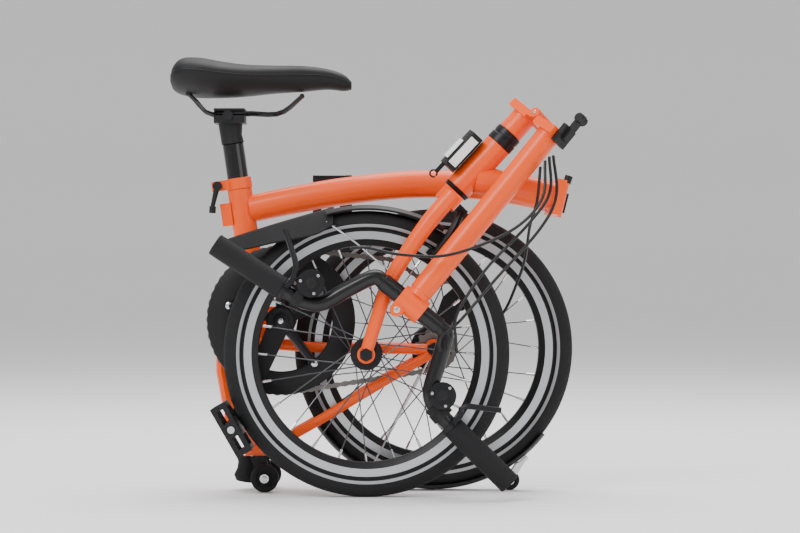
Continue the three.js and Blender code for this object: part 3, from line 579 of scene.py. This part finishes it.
def wheel(word, axle, flange, barrel):
    """Tyre, rim, hub shell, spokes and nipples of one wheel."""
    centre = mm(axle)
    wall = ringed(word + "_tyre_rubber", centre, 186.5, 2.2, (0.012, 0.012, 0.013), (0.30, 0.31, 0.32),
                  0.8, 0.4)
    ring_piece(word + "_tyre_body", tyre_profile(), centre, word + "_tyre", wall, 960, tread, smooth_deg=50)
    track = ringed(word + "_rim_metal", centre, 172.6, 5.6, (0.008, 0.008, 0.009), (0.50, 0.51, 0.53),
                   0.4, 0.3, 0.9)
    rim = np.array([(181, -9.5), (181.2, -11), (167, -11), (165.6, -10.2), (RIM_IN + 1, -7.2), (RIM_IN, -5),
                    (RIM_IN, 5), (RIM_IN + 1, 7.2), (165.6, 10.2), (167, 11), (181.2, 11), (181, 9.5)]) * MM
    ring_piece(word + "_rim_body", rim[::-1], centre, word + "_rim", track, 240, smooth_deg=25)
    hub = np.array([(5.6, -32), (13, -32), (14, -31), (14, -29.6), (flange - 1, -29.6), (flange, -28.6),
                    (flange, -27), (flange - 1, -26), (barrel + 2, -24), (barrel, -18), (barrel, 18),
                    (barrel + 2, 24), (flange - 1, 26), (flange, 27), (flange, 28.6), (flange - 1, 29.6),
                    (14, 29.6), (14, 31), (13, 32), (5.6, 32)]) * MM
    ring_piece(word + "_hub_shell", hub, centre, word + "_hub", alloy, 72, stands_for=[word + "_hub"])
    k = np.arange(SPOKES)
    side = np.where(k % 2, 1, -1)
    a = 2 * np.pi * k / SPOKES
    b = a + np.where(k % 4 < 2, 0.9, -0.9)

    def at(r, t, y):
        """Points round the axle, from a radius, angles and distances sideways."""
        return centre + MM * np.stack([r * np.cos(t), y, r * np.sin(t)], 1)

    inner, outer = at(flange - 3, b, side * 28.0), at(RIM_IN - 0.5, a, side * 2.5)
    points, quads, caps = rods(inner, outer, 0.95 * MM, 8)
    make(word + "_spokes", points, quads, word + "_hub", spoke_steel, [], caps=caps)
    back = outer + (inner - outer) * 0.085
    points, quads, caps = rods(back, outer, 1.9 * MM, 8)
    make(word + "_nipples", points, quads, word + "_hub", steel, [], caps=caps)


spoke_steel = material("spoke_steel", (0.10, 0.10, 0.11), 0.3, metal=0.9)
wheel("front", FRONT_AXLE, 23, 13)
wheel("rear", REAR_AXLE, 34, 13)
print("wheels done")

# %% [markdown]
# ## Sprocket, chainring and guard
# Stamped rings with teeth that the chain sits on. Boolean cuts could make each tooth, but one
# cosine round the edge, clipped to blunt tops, makes them all at once. The guard is a plain ring
# with rolled edges, and five dome-headed bolts hold the rings to the spider.

# %% Sprocket and chainring
def toothed(name, node, centre, inner, outer, y0, y1, count, height, finish):
    """A flat ring whose outer edge carries teeth and whose bore stays round."""
    turns = count * 8
    t = np.linspace(0, 2 * np.pi, turns, endpoint=False)[:, None]
    profile = np.array([(inner, y0), (outer, y0), (outer, y1), (inner, y1)]) * MM
    r = profile[:, 0] + height * MM * np.clip(1.6 * np.cos(count * t), -1, 1) * np.array([0, 1, 1, 0])
    points = np.stack([r * np.cos(t), np.broadcast_to(profile[:, 1], r.shape), r * np.sin(t)], -1)
    return make(name, points.reshape(-1, 3) + centre, grid_faces(turns, 4, True, True), node, finish, [],
                smooth_deg=30)


toothed("rear_sprocket", "rear_hub", mm(REAR_AXLE), 15.5, 27, -48.3, -43.2, 13, 2.2, chain_metal)
toothed("chainring", "right_crank", mm(BRACKET), 75.5, 103.6, -48.3, -43.7, 50, 1.8, alloy)
guard_ring = np.array([(77.5, -55.4), (108.4, -55.4), (109.5, -54.6), (109.5, -52.8),
                       (108.4, -52.1), (77.5, -52.1)]) * MM
ring_piece("chain_guard_ring", guard_ring, mm(BRACKET), "right_crank", plastic, 180, stands_for=[])
for k in range(5):
    a = 2 * math.pi * k / 5 + 0.35
    hub = mm((BRACKET[0] + 80 * math.cos(a), 0, BRACKET[2] + 80 * math.sin(a)))
    head = np.array([(0.2, -63.4), (3.2, -63.4), (5.2, -62.4), (5.6, -59.8), (0.2, -59.8)]) * MM
    ring_piece(f"ring_bolt_{k}", head, hub, "right_crank", steel, 24, stands_for=[])
print("rings done")


# %% [markdown]
# ## Chain
# A roller chain is one link repeated: two waisted side plates and a roller at each pin, every
# 12.7 mm along a closed line. The links are placed as whole arrays, from the line's points
# and tangents.

# %% Chain links
def arc_line(x, z, r, a0, a1, n):
    t = np.linspace(a0, a1, n + 1)
    return np.stack([x + r * np.cos(t), z + r * np.sin(t)], 1)


def chain_line():
    """The chain's closed centreline in the wheel plane: round the ring, the sprocket and an idler."""
    return np.vstack([arc_line(-127, 255, 107.5, 1.36, 4.84, 40), arc_line(99, 213, 30.5, 4.86, 6.9, 16),
                      arc_line(139, 276, 12, 3.3, 2.2, 4), arc_line(139, 300, 12, -1.2, 1.75, 10),
                      [(84, 313), (40, 345)]])


line = chain_line()
line = np.vstack([line, line[:1]])
run = np.r_[0, np.cumsum(np.linalg.norm(np.diff(line, axis=0), axis=1))]
PITCH = 12.7  # a bicycle chain's link
LINKS = int(round(run[-1] / PITCH / 2)) * 2
at_pin = np.linspace(0, run[-1], LINKS, endpoint=False)
pins = np.stack([np.interp(at_pin, run, line[:, k]) for k in (0, 1)], 1)


def link_plates(inner):
    """Waisted plates for every second link: outer plates wide apart, or inner ones close in."""
    k = np.arange(0 if inner else 1, LINKS, 2)
    a, b = pins[k], pins[(k + 1) % LINKS]
    along = b - a
    along /= np.linalg.norm(along, axis=1, keepdims=True)
    up = np.stack([-along[:, 1], along[:, 0]], 1)
    mid, half = (a + b) / 2, np.linalg.norm(b - a, axis=1)[:, None, None] / 2
    shape = np.array([(1.62, 0), (1.42, 3.3), (0.9, 4.1), (0, 2.7), (-0.9, 4.1), (-1.42, 3.3),
                      (-1.62, 0), (-1.42, -3.3), (-0.9, -4.1), (0, -2.7), (0.9, -4.1), (1.42, -3.3)])
    flat = mid[:, None] + half * shape[None, :, :1] * along[:, None] + shape[None, :, 1:] * up[:, None]
    points, quads, caps, base = [], [], [], 0
    for y0, y1 in (((-2.5, -1.7), (1.7, 2.5)) if inner else ((-3.5, -2.7), (2.7, 3.5))):
        for y in (y0, y1):
            points.append(np.stack([flat[..., 0], np.full(flat.shape[:2], -46 + y), flat[..., 1]], -1))
        n, m = flat.shape[:2]
        grid = grid_faces(2, m, False, True)
        index = np.where(grid >= m, grid - m + n * m, grid)
        quads.append((index[None] + (np.arange(n) * m)[:, None, None]).reshape(-1, 4) + base)
        caps += [range(base + j * m, base + (j + 1) * m) for j in range(2 * n)]
        base += 2 * n * m
    return np.vstack([p.reshape(-1, 3) for p in points]), np.vstack(quads), caps


for inner, word in ((True, "inner"), (False, "outer")):
    points, quads, caps = link_plates(inner)
    make(f"chain_{word}_plates", mm(points), quads, "chain", chain_metal, caps=caps)
ends = [np.stack([pins[:, 0], np.full(LINKS, -46 + y), pins[:, 1]], 1) for y in (-3.8, 3.8)]
points, quads, caps = rods(mm(ends[0]), mm(ends[1]), 1.8 * MM, 8)
make("chain_pins", points, quads, "chain", chain_metal, [], caps=caps)
print("chain links", LINKS)

# %% [markdown]
# ## Handlebar and grips
# A bent bar is one tube through seven points, with a straight clamped middle. The grips are
# smooth foam sleeves with a groove near each end, cut by lowering the sleeve's radius there.

# %% Bar and grips
BAR_Z = 382
smooth_bar = round_tube("bar_middle", in_stem([(0, -52, BAR_Z), (0, 0, BAR_Z), (0, 52, BAR_Z)]), 12.7,
                        "handlebar", black_paint, 12)
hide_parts("handlebar")
for side, word in ((1, "left"), (-1, "right")):
    bend = [(0, 50 * side, BAR_Z), (0, 66 * side, BAR_Z + 4), (0, 84 * side, BAR_Z + 42),
            (0, 99 * side, BAR_Z + 78), (0, 118 * side, BAR_Z + 92), (0, 148 * side, BAR_Z + 98),
            (0, 268 * side, BAR_Z + 110)]
    round_tube(word + "_bar_end", in_stem(bend), 11.1, "handlebar", black_paint, 80, 32)
    u = np.linspace(0, 1, 150)
    start, end = np.array([0, 158 * side, BAR_Z + 99]), np.array([0, 272 * side, BAR_Z + 110.4])
    path = start + (end - start) * u[:, None]
    ridge = 16.4 - 0.25 * (np.abs(u - 0.035) < 0.006) - 0.3 * (np.abs(u - 0.95) < 0.006)
    ridge -= 1.2 * np.clip(u - 0.985, 0, 1) / 0.015
    tube(word + "_grip_sleeve", in_stem(path), ridge * MM, word + "_grip", rubber, 40)
print("bar and grips done")

# %% [markdown]
# ## Seatpost and saddle
# The post is one gloss tube. The saddle is a padded cover over a shell: a rounded section,
# wide at the back and narrow at the nose, carried along the saddle's length. A piping of thin
# cord runs where the cover's top meets its sides.

# %% Seatpost
tube("seatpost_tube", in_seat(np.linspace((0, 0, 2), (0, 0, 300), 40)), 15.9 * MM, "seatpost",
     gloss_black, 64, rim=0.0012)

# %% Saddle
ROWS = np.array([[-293, 618, 606, 34], [-289, 634, 598, 58], [-276, 646, 592, 70], [-250, 647, 588, 76],
                 [-215, 641, 588, 72], [-180, 637, 590, 56], [-140, 636, 594, 38], [-95, 635.5, 597, 27],
                 [-60, 631, 600, 22], [-36, 623, 598, 19], [-24, 612, 600, 13]], float)
fine = smooth_path(ROWS[:, :3], 110)
half_width = np.interp(fine[:, 0], ROWS[:, 0], ROWS[:, 3])
half_width = np.convolve(np.pad(half_width, 3, mode="edge"), np.ones(7) / 7, "valid")


def saddle_section(v, x, top, low, half):
    """A rounded section at each x: sideways cos(v), and above the widest line a full, soft crown."""
    c, up = np.cos(v), np.sin(v)
    y = half * np.sign(c) * np.abs(c) ** 0.75
    crown = top - (top - low) * 0.45 * (1 - np.abs(up) ** 0.8)
    skirt = low + (top - low) * 0.55 * (1 - np.abs(up) ** 1.4)
    return np.stack(np.broadcast_arrays(x, y, np.where(up > 0, crown, skirt)), -1)


v = np.linspace(0, 2 * np.pi, 72, endpoint=False)[None, :]
body = saddle_section(v, *(fine[:, k, None] for k in range(3)), half_width[:, None])
ends = [range(72), range(109 * 72, 110 * 72)]
saddle = make("saddle_cover", mm(body.reshape(-1, 3)), grid_faces(110, 72, False, True), "saddle", leather,
              smooth_deg=60, caps=ends)
for side, word in ((0.10, "left"), (np.pi - 0.10, "right")):
    seam = saddle_section(np.array([[side]]), *(fine[3:-3, k, None] for k in range(3)),
                          half_width[3:-3, None] + 0.35)[:, 0]
    tube(word + "_seam", mm(seam), 0.9 * MM, "saddle", plastic, 8, rim=0.0002, stands_for=[])
print("saddle vertices", len(saddle.data.vertices))

# %% [markdown]
# ## Mudguards and their wire stays
# A mudguard is a curved strip carried round the wheel. Its section is a shallow arch with a
# rolled lip on both sides, walked out along the top and back underneath, so it is a closed
# shell with real thickness.

# %% Mudguards
def mudguard(name, axle, radius, a0, a1, half, node, steps=110):
    """An arch section of a given half-width swept from angle a0 to a1 round the axle."""
    s = np.linspace(-1, 1, 15)
    top = np.stack([radius + 1.3 - 5.2 * np.abs(s) ** 2.6, s * half], 1)
    lip = np.array([(radius - 5.4, half * 1.02), (radius - 6.0, half * 0.985)])
    under = np.stack([radius - 5.2 * np.abs(s) ** 2.6, s * (half - 1.4)], 1)[::-1]
    section = np.vstack([top, lip, under, lip[::-1] * (1, -1)])
    t = np.radians(np.linspace(a0, a1, steps))[:, None]
    r, y = section[:, 0], np.broadcast_to(section[:, 1], (steps, len(section)))
    points = np.stack([axle[0] + r * np.cos(t), axle[1] + y, axle[2] + r * np.sin(t)], -1)
    n = len(section)
    caps = [range(n), range((steps - 1) * n, steps * n)]
    return make(name, mm(points.reshape(-1, 3)), grid_faces(steps, n, False, True), node, plastic,
                smooth_deg=35, caps=caps)


mudguard("front_guard_strip", FRONT_AXLE, TYRE_R + 7.4, 58, 106, 22, "front_mudguard")
# length along the bicycle, height of the far edge, height of the near edge
FLAP = np.array([(-48, 420, 395), (-75, 413, 380), (-130, 397, 369), (-175, 383, 359),
                 (-205, 373, 356)], float)


def mud_flap():
    """Rows along the flap's length; across it, from the far edge over a soft shoulder to the near edge."""
    row = smooth_path(FLAP, 60)
    s = np.linspace(0, 1, 16)
    y = -98 - 52 * s
    x = np.repeat(row[:, :1], 16, 1)
    z = row[:, 1:2] - 5 * s - (row[:, 1:2] - row[:, 2:3] - 5) * np.clip((s - 0.45) / 0.55, 0, 1) ** 1.3
    top = np.stack([x, np.broadcast_to(y, x.shape), z + 2.2], -1)
    under = np.stack([x, np.broadcast_to(y + 0.6, x.shape), z], -1)[:, ::-1]
    return np.concatenate([top, under], 1)


flap = mud_flap()
ends = [range(32), range(59 * 32, 60 * 32)]
make("front_guard_flap", mm(flap.reshape(-1, 3)), grid_faces(60, 32, False, True), "front_mudguard", rubber,
     stands_for=[], smooth_deg=50, caps=ends)
mudguard("rear_guard_strip", REAR_AXLE, TYRE_R + 2.4, 214, 322, 19.5, "rear_mudguard")


def wire(name, points, node, radius=1.5, finish=steel):
    """A bent wire through points given in drawing millimetres."""
    return tube(name, smooth_path(mm(points), 40), radius * MM, node, finish, 12, rim=0.0003, stands_for=[])


for side, word in ((1, "left"), (-1, "right")):
    wire(f"front_stay_{word}", [(-58, -120 + 21 * side, 400), (-20, -120 + 27 * side, 373),
                                (22, -120 + 30 * side, 338), (48, -120 + 36 * side, 320)], "front_mudguard")
    wire(f"rear_stay_{word}", [(5, 20 * side, 33), (35, 38 * side, 90), (75, 52 * side, 165),
                               (94, 53.5 * side, 203)], "rear_mudguard")
print("mudguards done")

# %% [markdown]
# ## Rollers
# Small hard wheels with a rounded tread and a dished face, all turned about their axles.

# %% Rollers
def roller(name, node, x, y, z, radius, half, bore, finish):
    """A closed profile with a crowned tread and a shallow dish on both faces."""
    p = np.array([(bore, -half + 1.5), (radius * 0.55, -half + 1.5), (radius * 0.62, -half),
                  (radius - 2.5, -half),
                  (radius - 0.6, -half + 1.6), (radius, 0)])
    profile = np.vstack([p, (p * (1, -1))[::-1][1:]]) * MM
    return ring_piece(name, profile, mm((x, y, z)), node, finish, 96, smooth_deg=35)


roller("left_roller_wheel", "left_roller", -152, 45, 21, 21, 7, 4.3, rubber)
roller("right_roller_wheel", "right_roller", -152, -45, 21, 21, 7, 4.3, rubber)
roller("guard_roller_wheel", "mudguard_roller", 213, 0, 15, 15, 8.5, 3.2, rubber)

# %% [markdown]
# ## Small fittings
# The carrier block carries a blank label in a frame on its side, and a pull ring for its
# latch. A shifter pod has a lobed face, a disc whose radius swells three times round. All are
# turned or boxed shapes, placed in the frame of the piece that they sit on.

# %% Boxes and discs in a local frame
def slab(name, low, high, place, node, finish, roll=0.6):
    """A box between two corners of a local frame, with rolled edges from a bevel."""
    corner = np.array([[x, y, z] for x in (0, 1) for y in (0, 1) for z in (0, 1)])
    points = place(np.asarray(low, float) + corner * (np.asarray(high, float) - low))
    quads = np.array([(0, 1, 3, 2), (4, 6, 7, 5), (0, 4, 5, 1), (2, 3, 7, 6), (0, 2, 6, 4), (1, 5, 7, 3)])
    piece = make(name, points, quads, node, finish, [], smooth_deg=30)
    edge = piece.modifiers.new("rolled_edge", "BEVEL")
    edge.width, edge.segments = roll * MM, 3
    return piece


def knob(name, start, end, radius, place, node, finish, lobes=0, swell=0.0, sides=72):
    """A capped disc from start to end whose radius swells by a share, lobes times round."""
    start, end = np.asarray(start, float), np.asarray(end, float)
    along = (end - start) / np.linalg.norm(end - start)
    a = np.cross(along, (0.31, 0.11, 0.94))
    a /= np.linalg.norm(a)
    b = np.cross(along, a)
    t = np.linspace(0, 2 * np.pi, sides, endpoint=False)[None, :, None]
    size = np.array([0.90, 1.0, 1.0, 0.90])[:, None, None] * radius * (1 + swell * np.cos(lobes * t))
    far = np.array([0, 0.12, 0.88, 1])[:, None, None]
    points = start + (end - start) * far + size * (np.cos(t) * a + np.sin(t) * b)
    ends = [range(sides), range(3 * sides, 4 * sides)]
    return make(name, place(points.reshape(-1, 3)), grid_faces(4, sides, False, True), node, finish, [],
                smooth_deg=35, caps=ends)


label = material("blank_label", (0.78, 0.78, 0.76), 0.5, mottle=0.03)
slab("carrier_label_frame", (-38, -28.2, -84), (-22, -26.6, -31), in_fork, "carrier_block", plastic, 0.4)
slab("carrier_label", (-36.6, -28.7, -82), (-23.4, -27.6, -33), in_fork, "carrier_block", label, 0.2)
loop = np.linspace(0, 2 * np.pi, 40)
ring_line = np.stack([-41 + 5 * np.cos(loop), np.full(40, -9.0), -109 + 5 * np.sin(loop)], 1)[:-2]
tube("carrier_pull_ring", in_fork(ring_line), 1.3 * MM, "carrier_block", plastic, 12, rim=0.0002,
     stands_for=[])
knob("stem_clamp_bolt", (-16.6, -11, BAR_Z + 20), (-14.6, -11, BAR_Z + 20), 4.6, in_stem, "stem", steel)
for side, word, pod_y, pod_z in ((1, "left", 116.5, 456.5), (-1, "right", 129.5, 450.5)):
    pod = word + "_shifter"
    knob(word + "_pod_face", (-24.4, pod_y * side, pod_z), (-22.4, pod_y * side, pod_z), 18.6, in_stem, pod,
         alloy, 3, 0.035)
    knob(word + "_pod_cap", (-28.6, pod_y * side, pod_z), (-26.6, pod_y * side, pod_z), 7.2, in_stem, pod,
         plastic)
    for k in range(3):
        a = 2 * math.pi * k / 3 + 0.6
        at = np.array([0, pod_y * side + 15 * math.cos(a), pod_z + 15 * math.sin(a)])
        knob(f"{word}_pod_screw_{k}", at - (25.6, 0, 0), at - (24, 0, 0), 2.2, in_stem, pod, steel, sides=16)
knob("crank_cap", (BRACKET[0], -81.6, BRACKET[2]), (BRACKET[0], -76.2, BRACKET[2]), 11, mm,
     "right_crank", alloy)
knob("crank_bolt", (BRACKET[0], -83, BRACKET[2]), (BRACKET[0], -81, BRACKET[2]), 4.4, mm,
     "right_crank", steel, sides=6)
knob("tensioner_bolt", (109, -57.6, 251), (109, -55.6, 251), 4.2, mm, "tensioner_arm", steel, sides=24)
knob("roller_cap_right", (-152, -58.4, 21), (-152, -56.6, 21), 4.4, mm, "roller_axle", steel, sides=24)
print("fittings done")

# %% [markdown]
# ## Control cables
# Four outer cables leave the levers and go back into the bicycle. Each is a free cord, so its
# path is one smooth curve. They ride on the stem's body and keep their folded shape when the
# bicycle opens.

# %% Cables
CABLE_R = 2.2
CABLES = {
    "cable_front_brake": [(262, -190, 492), (262, -197, 440), (232, -204, 396), (170, -211, 330),
                          (130, -217, 268), (128, -213, 230), (130, -204, 212)],
    "cable_rear_brake": [(268, -184, 494), (272, -190, 436), (248, -196, 388), (184, -207, 316),
                         (134, -212, 258), (106, -207, 234), (107, -203, 214)],
    "cable_gear": [(256, -194, 486), (250, -212, 430), (205, -216, 385), (120, -215, 352),
                   (50, -212, 352), (0, -213, 362), (-22, -206, 360)],
    "cable_rear": [(250, -178, 478), (246, -166, 430), (236, -152, 392), (231, -118, 348),
                   (222, -84, 315), (202, -63, 268), (176, -59, 250), (154, -60, 246)],
}
sleeve_finish = material("cable_sleeve", (0.007, 0.007, 0.008), 0.40, coat=0.2, grain=2500, bump=0.1)
for node, points in CABLES.items():
    path = smooth_path(mm(points), 120)
    piece = tube(node + "_sleeve", path, CABLE_R * MM, node, sleeve_finish, 14, rim=0.0003)

# %% [markdown]
# ## Floor, light and camera
# A plain pale floor that curves up far away on every side, so that a view from any side sees
# the same, soft light from large lamps, and a long lens level with the middle of the bicycle.

# %% Floor
def bowl(rings, sides=96):
    """A profile of (distance, height) turned once round the vertical, with a fan at its middle."""
    rings = np.asarray(rings, float)
    t = np.linspace(0, 2 * np.pi, sides, endpoint=False)[None, :]
    x, y = rings[:, :1] * np.cos(t), rings[:, :1] * np.sin(t)
    return np.stack([x, y, np.broadcast_to(rings[:, 1:], x.shape)], -1).reshape(-1, 3)


BOWL = [(1, 0), (4, 0), (10, 0), (14, 0), (16, 0.3), (17.6, 1.1), (18.6, 2.4), (19, 4), (19, 9)]
floor_quads = grid_faces(len(BOWL), 96, False, True).tolist() + [list(range(96))]
floor_mesh = bpy.data.meshes.new("floor")
floor_mesh.from_pydata(bowl(BOWL).tolist(), [], floor_quads)
floor_mesh.materials.append(material("pale_floor", (0.90, 0.90, 0.90), 0.75, mottle=0.01, bump=0.0))
shade(floor_mesh, 60)
floor = bpy.data.objects.new("floor", floor_mesh)
bpy.context.scene.collection.objects.link(floor)


# %% Lights
def lamp(name, place, target, size, watts):
    """A square area lamp at place that faces target."""
    light = bpy.data.lights.new(name, "AREA")
    light.shape, light.size, light.energy = "SQUARE", size, watts
    holder = bpy.data.objects.new(name, light)
    holder.location = place
    holder.rotation_euler = (Vector(target) - Vector(place)).to_track_quat("-Z", "Y").to_euler()
    bpy.context.scene.collection.objects.link(holder)


lamp("key", (-1.6, -2.4, 2.6), (0, 0, 0.3), 1.6, 85)
lamp("fill", (2.4, -2.2, 1.4), (0, 0, 0.3), 2.2, 26)
lamp("top", (0.2, 1.0, 3.0), (0, 0.9, 0.2), 2.6, 120)
world = bpy.data.worlds.new("studio")
world.use_nodes = True
world.node_tree.nodes["Background"].inputs["Color"].default_value = (1, 1, 1, 1)
world.node_tree.nodes["Background"].inputs["Strength"].default_value = 0.8
bpy.context.scene.world = world

# %% Camera
camera = bpy.data.cameras.new("camera")
camera.sensor_width = 36
camera.lens = 120
camera.clip_end = 100
eye = bpy.data.objects.new("camera", camera)
eye.location = (0.0362, -3.945, 0.335)
eye.rotation_euler = (math.radians(90), 0, 0)
bpy.context.scene.collection.objects.link(eye)
bpy.context.scene.camera = eye

# %% [markdown]
# ## Last update
# The view layer is brought up to date at the end. The finished object has to stay the size
# of the CAD part.

# %% Update the view layer
bpy.context.view_layer.update()
